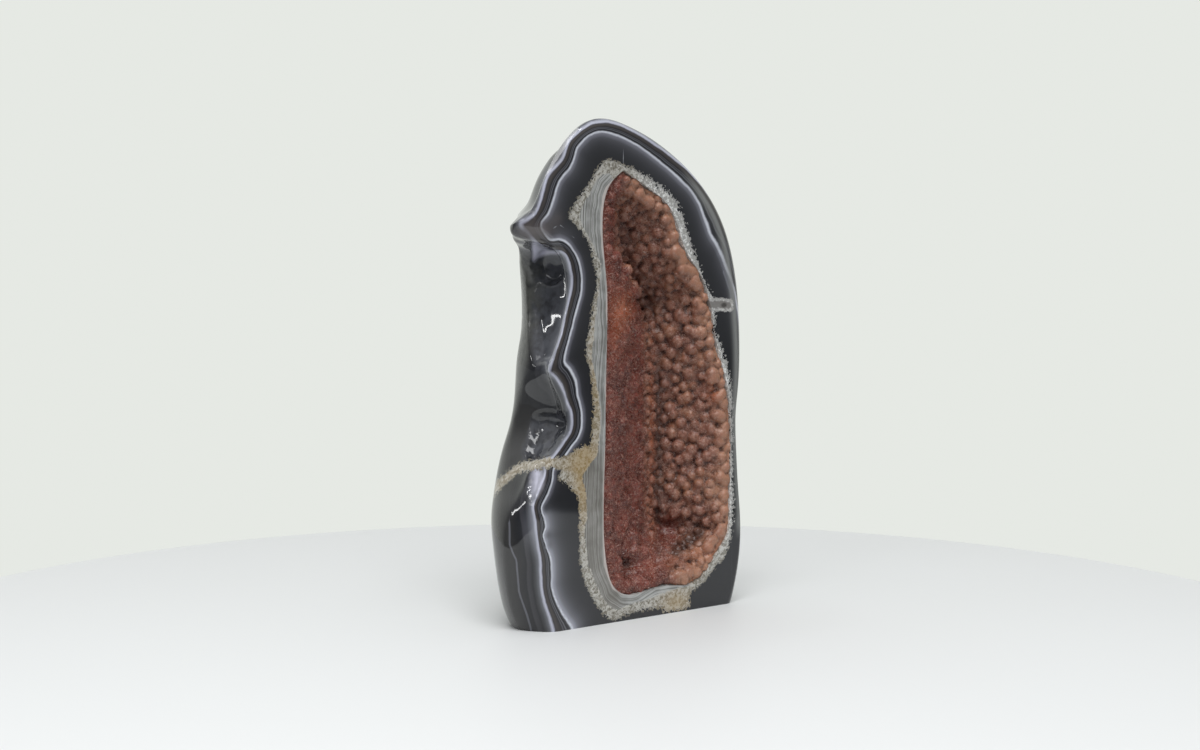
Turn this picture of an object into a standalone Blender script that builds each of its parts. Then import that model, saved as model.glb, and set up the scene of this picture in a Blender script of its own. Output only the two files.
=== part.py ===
"""Polished agate that stands on a sawn base, with a hollow lined by a crust of small crystals.

Two solids: agate_body, the stone with its hollow, and crystal_crust, the lining of the hollow.
Lengths are written in millimetres and turned into metres as the meshes are made.
+X runs across the sawn face, to the right of someone who looks at it; the face looks along -Y; +Z is up.
Depths are counted back from the sawn face. The finished piece is centred over the origin, base at z = 0.
"""

import math
import random

import bmesh
import bpy
from mathutils import Vector, noise
from mathutils.geometry import delaunay_2d_cdt

MM = 0.001

# Stone
STONE_DEPTH = 54.0  # from the sawn face to the back
WAIST_DEPTH = 12.0  # where the stone stops following the face's edge and starts to round off
EDGE_RADIUS = 6.5  # polished round between the face and the sides
BACK_FULLNESS = 2.1  # 2 is an ellipse, more is a boxier back
FACE_RING = 4.0  # width of the flat ring next to the round
FACE_CENTRE = (12.0, 128.0)  # x, z of the point that sees the whole edge of the face
BACK_CENTRE = (5.0, 96.0)  # x, z of the point on which the back closes
STONE_SEGMENTS = 96
ROUND_RINGS = 4
SIDE_RINGS = 3
BACK_RINGS = 9
BACK_FROM = 38.0  # depth from which the stone follows BACK_EDGE
RIND_SIZE = 19.0  # across one swell of the natural rind
RIND_HEIGHT = 1.5

# Edge of the stone seen from the front: x, z, and how far the waist stands outside that edge.
STONE_EDGE = [
    (-22.5, 193.6, -9.0),
    (-5.0, 189.8, -9.0),
    (11.6, 182.2, -8.0),
    (27.6, 171.2, -6.0),
    (39.4, 158.3, -5.0),
    (47.0, 143.5, -3.0),
    (51.3, 125.0, -1.0),
    (52.6, 104.0, 0.0),
    (52.3, 86.0, 0.0),
    (50.5, 71.0, 0.0),
    (52.0, 50.0, 0.5),
    (53.2, 27.0, 0.0),
    (50.0, 8.0, 0.0),
    (43.0, -8.0, 0.0),
    (24.0, -20.0, 0.0),
    (0.0, -22.0, 0.0),
    (-24.0, -20.0, 0.0),
    (-43.0, -9.0, 0.0),
    (-50.8, 6.0, 5.0),
    (-53.3, 20.0, 6.0),
    (-55.2, 36.0, 5.0),
    (-54.6, 49.0, 4.5),
    (-50.0, 61.0, 4.0),
    (-45.7, 73.0, 1.0),
    (-44.8, 86.0, -4.5),
    (-48.6, 98.0, -8.0),
    (-45.0, 110.0, -6.5),
    (-41.8, 122.0, -5.0),
    (-41.4, 135.0, -5.5),
    (-46.5, 145.0, -6.0),
    (-52.5, 153.2, -0.5),
    (-53.0, 163.5, -11.0),
    (-47.0, 176.0, -13.5),
    (-37.0, 187.3, -11.0),
]

# The plainer outline that the natural back follows before it closes: x, z.
BACK_EDGE = [
    (-20.0, 184.0),
    (0.0, 183.0),
    (20.0, 172.0),
    (36.0, 154.0),
    (46.0, 130.0),
    (50.0, 104.0),
    (51.0, 74.0),
    (51.0, 42.0),
    (48.0, 8.0),
    (36.0, -16.0),
    (0.0, -24.0),
    (-36.0, -18.0),
    (-50.0, 4.0),
    (-56.0, 32.0),
    (-53.0, 56.0),
    (-46.0, 82.0),
    (-41.5, 108.0),
    (-38.5, 134.0),
    (-39.5, 156.0),
    (-33.0, 174.0),
]

# Scoops polished into the left side: depth, z, reach in depth, reach in z, how deep they press in.
SCOOPS = [
    (14.0, 137.0, 6.0, 5.5, 5.0),
    (10.0, 120.0, 7.5, 12.0, 3.5),
    (11.0, 79.0, 8.5, 7.5, 9.5),
    (15.0, 54.0, 4.0, 5.0, 2.6),
]
SCOOP_FADE = (-34.0, -14.0)  # the scoops die out between these x

# Rim of the hollow on the sawn face: x, z.
HOLLOW_RIM = [
    (-11.0, 170.5),
    (-4.5, 167.0),
    (3.8, 162.4),
    (9.5, 159.0),
    (14.4, 153.8),
    (17.0, 146.0),
    (20.5, 138.2),
    (27.8, 130.5),
    (31.2, 122.5),
    (33.8, 114.0),
    (34.6, 107.0),
    (39.2, 93.6),
    (42.4, 83.0),
    (43.8, 70.0),
    (44.0, 55.0),
    (43.6, 40.0),
    (43.4, 28.5),
    (36.0, 21.5),
    (30.4, 13.8),
    (22.6, 10.6),
    (10.2, 12.4),
    (0.0, 11.2),
    (-6.5, 10.0),
    (-14.0, 12.2),
    (-18.0, 17.8),
    (-20.4, 32.5),
    (-20.4, 50.0),
    (-19.4, 70.0),
    (-18.9, 90.0),
    (-18.6, 112.0),
    (-18.8, 127.0),
    (-20.6, 140.0),
    (-21.4, 153.0),
    (-19.0, 164.5),
]
HOLLOW_CENTRE = (8.0, 88.0)
CRUST_THICKNESS = 3.0
CRUST_LIP = 0.8  # width of crust left flush with the sawn face
FIT_GAP = 0.3  # between the crust and the stone
LEFT_SLOPE_LOW = 0.54  # depth gained per mm away from the left rim, below the ledge
LEFT_SLOPE_HIGH = 0.86  # the same above the ledge
RIGHT_SLOPE = 1.22
FLOOR_SLOPE = 1.25
ROOF_SLOPE = 1.1
CREASE_ROUND = 5.0  # how softly the walls run into each other
# Line of the ledge across the left wall, from the rim down into the hollow: x, z.
LEDGE = [
    (-30.0, 141.5),
    (-19.0, 140.3),
    (-9.2, 138.2),
    (-3.5, 134.1),
    (2.5, 128.7),
    (8.4, 123.4),
    (14.0, 115.0),
]
LEDGE_BLUR = 1.8
# Pockets that go deeper than the walls: x, z, radius, depth.
POCKETS = [
    (17.0, 120.5, 5.5, 7.0),
    (33.0, 28.5, 5.5, 7.5),
    (-4.5, 20.5, 2.6, 3.6),
]
# Swells that stand out of the walls: x, z, radius, height.
SWELLS = [
    (2.0, 25.0, 6.0, 2.0),
    (15.0, 23.5, 6.5, 2.4),
    (26.0, 18.5, 4.5, 1.8),
    (-9.0, 112.0, 6.0, 1.4),
    (33.0, 56.0, 8.0, 1.0),
]
POCKET_FADE = 6.0  # pockets and swells come to their full size at this depth
BALL_SPACING = 4.7  # between the balls of crystals on the right and back walls
BALL_HEIGHT = 1.8
BUMP_SPACING = 7.5  # between the low bumps of the left wall
BUMP_HEIGHT = 0.7
BALL_SHOULDER = 0.84  # share of a ball's height that is left half-way to its foot
BALL_MARGIN = 1.8  # least distance of a ball's crown from the rim
BALL_VARIETY = (0.75, 1.15)  # range of the factor on a ball's height
FLOOR_TOP = 30.0  # below this height the balls of the floor set in
FLOOR_BALLS = 0.6  # how far the floor's balls are between the low bumps and the full balls
BALL_EDGE = (14.0, 22.0)  # x over which the left wall's bumps give way to balls, at BALL_EDGE_Z
BALL_EDGE_Z = 60.0
BALL_EDGE_LEAN = 0.04
BALL_TRIES = 9000
BALL_SEED = 4
RIM_POINTS = 128
FORM_RIM_POINTS = 56
FORM_SPACING = 7.5
LID = 4.0  # how far the cutters stand in front of the sawn face
LOOK_ACROSS = 0.35  # lean of the line of sight along which the wall's points are joined
LOOK_UP = 0.3
SURVEY_POINTS = 600  # round the rim, to measure it
SURVEY_STEP = 0.5  # between the places where it is measured

STONE_COLOUR = (0.035, 0.037, 0.043, 1.0)
CRUST_COLOUR = (0.23, 0.06, 0.038, 1.0)


def clear_scene():
    for old in list(bpy.data.objects):
        bpy.data.objects.remove(old, do_unlink=True)


def smooth_step(value, low, high):
    """0 below low, 1 above high, smooth between; low may be the larger of the two."""
    share = min(1.0, max(0.0, (value - low) / (high - low)))
    return share * share * (3.0 - 2.0 * share)


def soft_min(a, b, width):
    """The smaller of a and b, with the corner rounded over this width."""
    blend = max(0.0, 1.0 - abs(a - b) / width)
    return min(a, b) - blend * blend * width * 0.25


def bell(distance_squared):
    return math.exp(-0.5 * distance_squared)


def spline_point(points, place):
    """A point on the closed Catmull-Rom curve through these points; place counts points, from 0."""
    count = len(points)
    start = int(math.floor(place))
    t = place - start
    a, b, c, d = (points[(start + step) % count] for step in (-1, 0, 1, 2))
    return tuple(
        0.5 * (2 * q + (r - p) * t + (2 * p - 5 * q + 4 * r - s) * t * t + (3 * q - p - 3 * r + s) * t**3)
        for p, q, r, s in zip(a, b, c, d)
    )


def even_outline(points, count, detail=12):
    """count points at equal steps along the closed curve through these points."""
    fine = [spline_point(points, i / detail) for i in range(len(points) * detail)]
    fine.append(fine[0])
    lengths = [0.0]
    for p, q in zip(fine, fine[1:]):
        lengths.append(lengths[-1] + math.dist(p[:2], q[:2]))
    result, at = [], 0
    for i in range(count):
        target = lengths[-1] * i / count
        while lengths[at + 1] < target:
            at += 1
        t = (target - lengths[at]) / (lengths[at + 1] - lengths[at])
        result.append(tuple(p + (q - p) * t for p, q in zip(fine[at], fine[at + 1])))
    return result


def ring_profile():
    """For each ring from the front pole to the back pole: (inset from the edge, depth, scale)."""
    rings = [(0.0, 0.0, 0.0), (EDGE_RADIUS + FACE_RING, 0.0, 1.0)]
    for i in range(ROUND_RINGS + 1):
        turn = math.pi / 2 * i / ROUND_RINGS
        rings.append((EDGE_RADIUS * (1 - math.sin(turn)), EDGE_RADIUS * (1 - math.cos(turn)), 1.0))
    for i in range(1, SIDE_RINGS + 1):
        rings.append((0.0, EDGE_RADIUS + (WAIST_DEPTH - EDGE_RADIUS) * i / SIDE_RINGS, 1.0))
    for i in range(1, BACK_RINGS + 1):
        turn = math.pi / 2 * i / BACK_RINGS
        power = 2 / BACK_FULLNESS
        scale = math.cos(turn) ** power if i < BACK_RINGS else 0.0
        rings.append((0.0, WAIST_DEPTH + (STONE_DEPTH - WAIST_DEPTH) * math.sin(turn) ** power, scale))
    return rings


def scooped(x, depth, z):
    """The point's x after the scoops on the left side have pressed it in."""
    fade = smooth_step(x, SCOOP_FADE[1], SCOOP_FADE[0])
    push = 0.0
    for at_depth, at_z, reach_depth, reach_z, height in SCOOPS:
        push += height * bell(((depth - at_depth) / reach_depth) ** 2 + ((z - at_z) / reach_z) ** 2)
    return x + push * fade


def stone_point(edge, back_edge, ring):
    """A point of the skin: edge is (x, z, swell) on the outline of the face, ring a row of ring_profile."""
    inset, depth, scale = ring
    x, z, swell = edge
    fx, fz = FACE_CENTRE
    bx, bz = BACK_CENTRE
    if scale == 0.0:
        return (fx, 0.0, fz) if depth == 0.0 else (bx, depth, bz)
    start = math.dist((x, z), (fx, fz))
    wide = (start - inset + swell * smooth_step(depth, 0.0, WAIST_DEPTH)) / start
    x, z = fx + (x - fx) * wide, fz + (z - fz) * wide
    back = smooth_step(depth, WAIST_DEPTH, BACK_FROM)
    x, z = x + (back_edge[0] - x) * back, z + (back_edge[1] - z) * back
    x, z = bx + (x - bx) * scale, bz + (z - bz) * scale
    swells = RIND_HEIGHT * back * noise.noise(Vector((x, depth, z)) / RIND_SIZE)
    grown = 1.0 + swells / math.dist((x, z), (bx, bz))
    x, z = bx + (x - bx) * grown, bz + (z - bz) * grown
    return (scooped(x, depth, z), depth + swells, z)


def make_stone():
    """A round ball of rings, moved onto the stone's outline, then sawn flat at the base."""
    rings = ring_profile()
    edge = even_outline(STONE_EDGE, STONE_SEGMENTS)
    back_edge = even_outline(BACK_EDGE, STONE_SEGMENTS)
    mesh = bmesh.new()
    bmesh.ops.create_uvsphere(mesh, u_segments=STONE_SEGMENTS, v_segments=len(rings) - 1, radius=1.0)
    for vertex in mesh.verts:
        polar = math.acos(max(-1.0, min(1.0, vertex.co.z)))
        ring = round(polar / math.pi * (len(rings) - 1))
        turn = math.atan2(vertex.co.y, vertex.co.x) % math.tau
        place = round(turn / math.tau * STONE_SEGMENTS) % STONE_SEGMENTS
        vertex.co = Vector(stone_point(edge[place], back_edge[place], rings[ring])) * MM
    saw = bmesh.ops.bisect_plane(
        mesh,
        geom=mesh.verts[:] + mesh.edges[:] + mesh.faces[:],
        plane_co=(0, 0, 0),
        plane_no=(0, 0, 1),
        clear_inner=True,
    )
    cut_edges = [item for item in saw["geom_cut"] if isinstance(item, bmesh.types.BMEdge)]
    bmesh.ops.contextual_create(mesh, geom=cut_edges)
    bmesh.ops.recalc_face_normals(mesh, faces=mesh.faces[:])
    return object_from(mesh, "agate_body")


class Rim:
    """The hollow's rim, measured once: its lowest and highest x for every z, and the same for every x."""

    def __init__(self, points):
        outline = even_outline(points, SURVEY_POINTS)
        self.box = [(min(p[axis] for p in outline), max(p[axis] for p in outline)) for axis in (0, 1)]
        self.tables = [self.survey(outline, axis) for axis in (0, 1)]

    def survey(self, outline, axis):
        low, high = self.box[axis]
        count = int((high - low) / SURVEY_STEP)
        table = []
        for i in range(1, count):
            value = low + i * SURVEY_STEP
            hits = []
            for p, q in zip(outline, outline[1:] + outline[:1]):
                if (p[axis] - value) * (q[axis] - value) <= 0 and p[axis] != q[axis]:
                    t = (value - p[axis]) / (q[axis] - p[axis])
                    hits.append(p[1 - axis] + (q[1 - axis] - p[1 - axis]) * t)
            table.append((min(hits), max(hits)))
        return low + SURVEY_STEP, table

    def span(self, axis, value):
        """(lowest, highest) of the other coordinate where this one has this value."""
        low, table = self.tables[axis]
        place = min(max((value - low) / SURVEY_STEP, 0.0), len(table) - 1.001)
        start = int(place)
        t = place - start
        return tuple(a + (b - a) * t for a, b in zip(table[start], table[start + 1]))

    def room(self, x, z):
        """Distance to the nearest rim along x or z; negative outside."""
        left, right = self.span(1, z)
        low, high = self.span(0, x)
        return min(x - left, right - x, z - low, high - z)


def ledge_share(x, z):
    """1 above the ledge that crosses the left wall, 0 below it."""
    at = 0
    while at < len(LEDGE) - 2 and x > LEDGE[at + 1][0]:
        at += 1
    (ax, az), (bx, bz) = LEDGE[at], LEDGE[at + 1]
    line = az + (bz - az) * (x - ax) / (bx - ax)
    lean = math.hypot(bx - ax, bz - az) / (bx - ax)
    return smooth_step((z - line) / lean, -LEDGE_BLUR, LEDGE_BLUR)


def wall_depth(rim, x, z):
    """Depth of the hollow's smooth wall behind the sawn face at x, z inside the rim."""
    left, right = rim.span(1, z)
    low, high = rim.span(0, x)
    slope = LEFT_SLOPE_LOW + (LEFT_SLOPE_HIGH - LEFT_SLOPE_LOW) * ledge_share(x, z)
    depth = soft_min(slope * (x - left), RIGHT_SLOPE * (right - x), CREASE_ROUND)
    depth = soft_min(depth, FLOOR_SLOPE * (z - low), CREASE_ROUND)
    depth = soft_min(depth, ROOF_SLOPE * (high - z), CREASE_ROUND)
    inside = smooth_step(depth, 0.0, POCKET_FADE)
    for at_x, at_z, radius, extra in POCKETS:
        depth += extra * inside * bell(((x - at_x) ** 2 + (z - at_z) ** 2) / radius**2)
    for at_x, at_z, radius, height in SWELLS:
        depth -= height * inside * bell(((x - at_x) ** 2 + (z - at_z) ** 2) / radius**2)
    return max(depth, 0.0)


def wall_normal(rim, x, z, step=0.6):
    """Unit vector out of the smooth wall, towards the opening."""
    slope_x = (wall_depth(rim, x + step, z) - wall_depth(rim, x - step, z)) / (2 * step)
    slope_z = (wall_depth(rim, x, z + step) - wall_depth(rim, x, z - step)) / (2 * step)
    return Vector((slope_x, -1.0, slope_z)).normalized()


def ball_share(x, z):
    """1 where the crust is made of round balls, 0 on the low bumps of the left wall."""
    right = smooth_step(x + BALL_EDGE_LEAN * (z - BALL_EDGE_Z), *BALL_EDGE)
    floor = smooth_step(z, FLOOR_TOP, FLOOR_TOP - 8.0)
    return max(right, FLOOR_BALLS * floor, ledge_share(x, z))


def ball_centres(rim):
    """Places on the wall, each at least its spacing from the others: (point, height)."""
    dice = random.Random(BALL_SEED)
    (low_x, high_x), (low_z, high_z) = rim.box
    found = []
    for _ in range(BALL_TRIES):
        x, z = dice.uniform(low_x, high_x), dice.uniform(low_z, high_z)
        if rim.room(x, z) < BALL_MARGIN:
            continue
        share = ball_share(x, z)
        spacing = BUMP_SPACING + (BALL_SPACING - BUMP_SPACING) * share
        point = Vector((x, wall_depth(rim, x, z), z))
        if all((point - other).length > (spacing + room) / 2 for other, room, _ in found):
            height = (BUMP_HEIGHT + (BALL_HEIGHT - BUMP_HEIGHT) * share) * dice.uniform(*BALL_VARIETY)
            found.append((point, spacing, height))
    return [(point, height) for point, _, height in found]


def triangles_over(rim, outline, inner):
    """Triangles that fill the outline and use every inner point; both are lists of (x, z, ...).

    The points are joined as seen along a line that shows all the walls, so no triangle is a splinter.
    """
    plan = [Vector(p[:2]) for p in outline]
    for x, z, _ in inner:
        depth = wall_depth(rim, x, z)
        plan.append(Vector((x - LOOK_ACROSS * depth, z + LOOK_UP * depth)))
    filled = delaunay_2d_cdt(plan, [], [list(range(len(outline)))], 1, 1e-4)
    return [[filled[3][i][0] for i in triangle] for triangle in filled[2]]


def lumpy_points(rim, outline):
    """Crown, shoulders and feet of every ball: a list of (x, z, height above the smooth wall)."""
    balls = [(point.x, point.z, height) for point, height in ball_centres(rim)]
    spots = [(x, z, 0.0) for x, z in outline] + balls
    result = list(balls)
    for triangle in triangles_over(rim, outline, balls):
        foot_x = sum(spots[i][0] for i in triangle) / 3
        foot_z = sum(spots[i][1] for i in triangle) / 3
        result.append((foot_x, foot_z, 0.0))
        for i in triangle:
            x, z, height = spots[i]
            if i >= len(outline):
                result.append(((x + foot_x) / 2, (z + foot_z) / 2, height * BALL_SHOULDER))
    return result


def hollow_solid(rim, name, outline, inner, grow, below, lid):
    """The hollow as a solid: its wall, and straight sides out to a flat lid.

    outline and inner are lists of (x, z) and (x, z, height), grow moves the rim outwards,
    below is added to every depth, and lid is how far the lid stands in front of the sawn face.
    """
    cx, cz = HOLLOW_CENTRE
    mesh = bmesh.new()
    for x, z in outline:
        wide = 1.0 + grow / math.dist((x, z), HOLLOW_CENTRE)
        mesh.verts.new(Vector((cx + (x - cx) * wide, below, cz + (z - cz) * wide)) * MM)
    for x, z, height in inner:
        foot = Vector((x, wall_depth(rim, x, z) + below, z))
        mesh.verts.new((foot + wall_normal(rim, x, z) * height) * MM)
    mesh.verts.ensure_lookup_table()
    for triangle in triangles_over(rim, outline, inner):
        mesh.faces.new([mesh.verts[i] for i in triangle])
    wall = bmesh.ops.extrude_edge_only(mesh, edges=[e for e in mesh.edges if e.is_boundary])
    for item in wall["geom"]:
        if isinstance(item, bmesh.types.BMVert):
            item.co.y = -lid * MM
    bmesh.ops.contextual_create(mesh, geom=[e for e in mesh.edges if e.is_boundary])
    bmesh.ops.recalc_face_normals(mesh, faces=mesh.faces[:])
    return object_from(mesh, name)


def plain_points(rim):
    """Points of the smooth wall on an even grid, for the hidden side of the crust."""
    result = []
    (low_x, high_x), (low_z, high_z) = rim.box
    column_step = FORM_SPACING * math.sqrt(3) / 2
    for column in range(1, int((high_x - low_x) / column_step) + 1):
        for row in range(int((high_z - low_z) / FORM_SPACING) + 1):
            x = low_x + column * column_step
            z = low_z + (row + 0.5 * (column % 2)) * FORM_SPACING
            if rim.room(x, z) > FORM_SPACING * 0.4:
                result.append((x, z, 0.0))
    return result


def make_hollow():
    """The crust with the air carved out of it, and the form that makes room for it in the stone."""
    rim = Rim(HOLLOW_RIM)
    fine = even_outline(HOLLOW_RIM, RIM_POINTS)
    coarse = even_outline(HOLLOW_RIM, FORM_RIM_POINTS)
    plain = plain_points(rim)
    back = CRUST_THICKNESS
    crust = hollow_solid(rim, "crystal_crust", coarse, plain, CRUST_LIP, back, 0.0)
    air = hollow_solid(rim, "hollow_air", fine, lumpy_points(rim, fine), 0.0, 0.0, LID)
    form = hollow_solid(rim, "hollow_form", coarse, plain, CRUST_LIP + FIT_GAP, back + FIT_GAP, LID)
    carve(crust, air)
    return crust, air, form


def object_from(mesh, name):
    data = bpy.data.meshes.new(name)
    mesh.to_mesh(data)
    mesh.free()
    return bpy.data.objects.new(name, data)


def carve(target, cutter):
    cut = target.modifiers.new(cutter.name, "BOOLEAN")
    cut.operation = "DIFFERENCE"
    cut.solver = "EXACT"
    cut.object = cutter


def paint(target, name, colour, roughness):
    material = bpy.data.materials.new(name)
    material.use_nodes = True
    shader = material.node_tree.nodes["Principled BSDF"]
    shader.inputs["Base Color"].default_value = colour
    shader.inputs["Roughness"].default_value = roughness
    shader.inputs["Metallic"].default_value = 0.0
    target.data.materials.append(material)


def link(target, collection, helper=False):
    collection.objects.link(target)
    target.hide_render = helper
    if helper:
        target.display_type = "WIRE"


def centre_over_origin(stone, things):
    """Moves everything so that the stone's box is centred on x = 0 and y = 0."""
    xs = [v.co.x for v in stone.data.vertices]
    ys = [v.co.y for v in stone.data.vertices]
    shift = Vector((-(min(xs) + max(xs)) / 2, -(min(ys) + max(ys)) / 2, 0))
    for thing in things:
        for vertex in thing.data.vertices:
            vertex.co += shift


def main():
    clear_scene()
    parts = bpy.data.collections.new("agate_with_crystal_hollow")
    cutters = bpy.data.collections.new("cutters")
    bpy.context.scene.collection.children.link(parts)
    bpy.context.scene.collection.children.link(cutters)

    stone = make_stone()
    crust, air, form = make_hollow()
    centre_over_origin(stone, (stone, crust, air, form))
    link(stone, parts)
    link(crust, parts)
    link(air, cutters, helper=True)
    link(form, cutters, helper=True)
    carve(stone, form)

    paint(stone, "polished_agate", STONE_COLOUR, 0.08)
    paint(crust, "crystal_crust", CRUST_COLOUR, 0.5)
    for thing in (stone, crust):
        thing.data.shade_smooth()
        thing.data.set_sharp_from_angle(angle=math.radians(32))


main()
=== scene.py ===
# Banded agate on a sawn base with a hollow full of red-brown druse, on a round white table.
import math
import random

import bmesh
import bpy
import numpy as np
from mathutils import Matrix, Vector, geometry, kdtree, noise


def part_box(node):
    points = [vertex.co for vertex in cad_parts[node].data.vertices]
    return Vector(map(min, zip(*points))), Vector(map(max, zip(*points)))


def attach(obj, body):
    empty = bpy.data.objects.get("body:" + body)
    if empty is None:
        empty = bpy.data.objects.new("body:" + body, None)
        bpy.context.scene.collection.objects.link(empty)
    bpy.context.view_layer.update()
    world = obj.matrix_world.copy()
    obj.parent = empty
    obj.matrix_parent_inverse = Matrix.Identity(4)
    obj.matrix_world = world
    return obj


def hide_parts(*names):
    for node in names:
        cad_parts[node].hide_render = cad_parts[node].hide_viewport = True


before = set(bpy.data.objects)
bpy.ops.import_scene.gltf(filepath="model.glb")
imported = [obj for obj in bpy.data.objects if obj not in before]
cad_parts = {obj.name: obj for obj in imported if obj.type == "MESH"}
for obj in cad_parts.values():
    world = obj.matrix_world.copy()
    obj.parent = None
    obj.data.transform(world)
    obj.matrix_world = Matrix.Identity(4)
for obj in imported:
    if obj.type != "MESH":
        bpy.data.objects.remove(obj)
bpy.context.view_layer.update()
mm = 0.001
stoneLow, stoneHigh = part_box("agate_body")
frontY = stoneLow.y  # the sawn and polished face


# small helpers
def selectOnly(piece):
    bpy.ops.object.select_all(action="DESELECT")
    piece.select_set(True)
    bpy.context.view_layer.objects.active = piece


def editMode(piece, selected="DESELECT"):
    selectOnly(piece)
    bpy.ops.object.mode_set(mode="EDIT")
    bpy.ops.mesh.select_mode(type="FACE")
    bpy.ops.mesh.select_all(action=selected)


def objectMode():
    bpy.ops.object.mode_set(mode="OBJECT")


def mergedCopy(node, name):
    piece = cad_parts[node].copy()
    piece.data = piece.data.copy()
    piece.parent = None
    piece.name = piece.data.name = name
    bpy.context.scene.collection.objects.link(piece)
    piece.data.materials.clear()
    editMode(piece, "SELECT")
    bpy.ops.mesh.remove_doubles(threshold=0.02 * mm)
    bpy.ops.mesh.customdata_custom_splitnormals_clear()
    objectMode()
    return piece


def addModifier(piece, kind, **values):
    selectOnly(piece)
    modifier = piece.modifiers.new(kind.lower(), kind)
    for key, value in values.items():
        setattr(modifier, key, value)
    bpy.ops.object.modifier_apply(modifier=modifier.name)


def vertexArray(piece):
    places = np.empty(len(piece.data.vertices) * 3)
    piece.data.vertices.foreach_get("co", places)
    return places.reshape(-1, 3)


def normalArray(piece):
    normals = np.empty(len(piece.data.vertices) * 3)
    piece.data.vertex_normals.foreach_get("vector", normals)
    return normals.reshape(-1, 3)


def storeValues(piece, name, values):
    layer = piece.data.attributes.new(name, "FLOAT", "POINT")
    layer.data.foreach_set("value", np.ascontiguousarray(values, dtype=np.float32))


def smoothStep(values, low, high):
    share = np.clip((np.asarray(values, float) - low) / (high - low), 0, 1)
    return share * share * (3 - 2 * share)


def cloud(places, size, seed=0.0):
    shift = Vector((seed, seed * 0.7, -seed))
    return np.array([noise.noise(Vector(p) / size + shift) for p in places])


# camera
camera = {
    "place": (-0.59720, -0.71447, 0.17813),
    "turn": 40.0,  # degrees from +Y towards +X
    "dip": 5.289,  # degrees down
    "lens": 72.0,
    "sensor": 36.0,
}
eye = Vector(camera["place"])
bpy.ops.object.camera_add(location=eye)
shot = bpy.context.object
shot.name = "photo_view"
shot.rotation_euler = (math.radians(90 - camera["dip"]), 0, -math.radians(camera["turn"]))
shot.data.lens = camera["lens"]
shot.data.sensor_width = camera["sensor"]
shot.data.clip_start = 0.01
bpy.context.scene.camera = shot
print("camera set")

# layers of the agate, drawn on the sawn face: x and z in mm
faceShift = 2.34  # from these x to the frame's x
hollowEdge = [
    (-11.4, 170.3), (-16, 167.2), (-19.2, 164.8), (-20.7, 161.4), (-21.4, 156.2), (-21.4, 149.3),
    (-21, 142.4), (-20.2, 138.9), (-19, 133.5), (-18.7, 126.3), (-19, 119.1), (-18.3, 113.3),
    (-18.4, 100.5), (-19.4, 91.2), (-18.9, 78.1), (-19.2, 70.6), (-19.9, 63.2), (-20.4, 51.9),
    (-20.4, 32.5), (-19.9, 22.9), (-17.9, 17.8), (-16, 13.7), (-11.5, 10.9), (-6.5, 10),
    (0, 11.1), (4.6, 12.3), (10.2, 13), (17.4, 12.9), (22.6, 10.4), (30.4, 13.4), (33, 19),
    (35.6, 22.7), (40.9, 24.5), (43.6, 27.4), (44.3, 33.6), (44, 40.4), (40.3, 45), (44.2, 54),
    (43.9, 61.8), (43.8, 69.7), (43.2, 76.8), (42.1, 83.5), (41.5, 89.4), (39.4, 93.4),
    (37.7, 101.2), (34.7, 106.8), (33.7, 110.5), (33.7, 117.7), (31.2, 122.5), (29.7, 126.1),
    (27.8, 130.5), (24.8, 134.2), (20.5, 137.9), (18.6, 141.5), (17.1, 145.7), (16.6, 150.3),
    (14.2, 153.9), (11.4, 157.1), (9.5, 159.2), (6.7, 160.4), (3.8, 162.2), (0.1, 164.3),
    (-4.5, 166.8), (-9.2, 169.6),
]
grainyEdge = [
    (-13, 174.4), (-19.3, 175.7), (-23.7, 172.7), (-28.2, 166.8), (-33.3, 161.5), (-37.8, 155),
    (-34.3, 151.3), (-28.7, 145.2), (-26.6, 139.4), (-24.3, 130.8), (-26.2, 122.3), (-28, 113.7),
    (-29.7, 104.7), (-27.2, 94.9), (-26, 82.5), (-26.8, 72.8), (-29.3, 66.8), (-35.1, 66.4),
    (-38.6, 63.3), (-42.8, 58), (-39.4, 55.3), (-34.3, 50.5), (-33, 47), (-32.8, 34.3),
    (-32.1, 23.4), (-28.7, 14.2), (-25.1, 8.6), (-20.3, 3.2), (-15.4, 0.9), (-6.5, 2.7),
    (8.2, 2.8), (9.2, 0.7), (22.6, 1), (23.1, 6.4), (29.4, 9.6), (35.7, 14.8), (42.5, 20),
    (46, 33.3), (45.3, 65.2), (44.2, 89.2), (39.9, 101.2), (36.2, 108.5), (35.7, 114),
    (35.1, 122), (32.2, 125.3), (26.8, 135.5), (22.9, 143.1), (19, 153.1), (13.7, 161),
    (4.8, 166.7), (-5.5, 172), (-9.2, 173),
]
greyEdge = [  # outer edge of the fine grey layers; on the right they are missing
    (-17, 169.3), (-23, 169.3), (-26.7, 164.2), (-29.7, 160.6), (-32.6, 154.4), (-29.6, 148.5),
    (-26.2, 144.3), (-24.3, 140.1), (-22.4, 136.4), (-22.8, 129.3), (-24.7, 118.1), (-25.9, 108.4),
    (-26.8, 102.1), (-25.2, 95.6), (-22.6, 82.2), (-22.6, 75.8), (-23.5, 69.4), (-24.7, 64.6),
    (-31.2, 57.7), (-29.9, 52.2), (-29.1, 42.2), (-30.4, 37.4), (-29.6, 30.5), (-28.7, 23.5),
    (-27.3, 21.5), (-25.2, 16.7), (-21.8, 10.9), (-18.1, 6.6), (-14.1, 4.6), (-7.8, 6),
    (2.4, 7), (10.1, 8.5), (18, 9.5), (24, 9.8), (22, 11.5),
]
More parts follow.
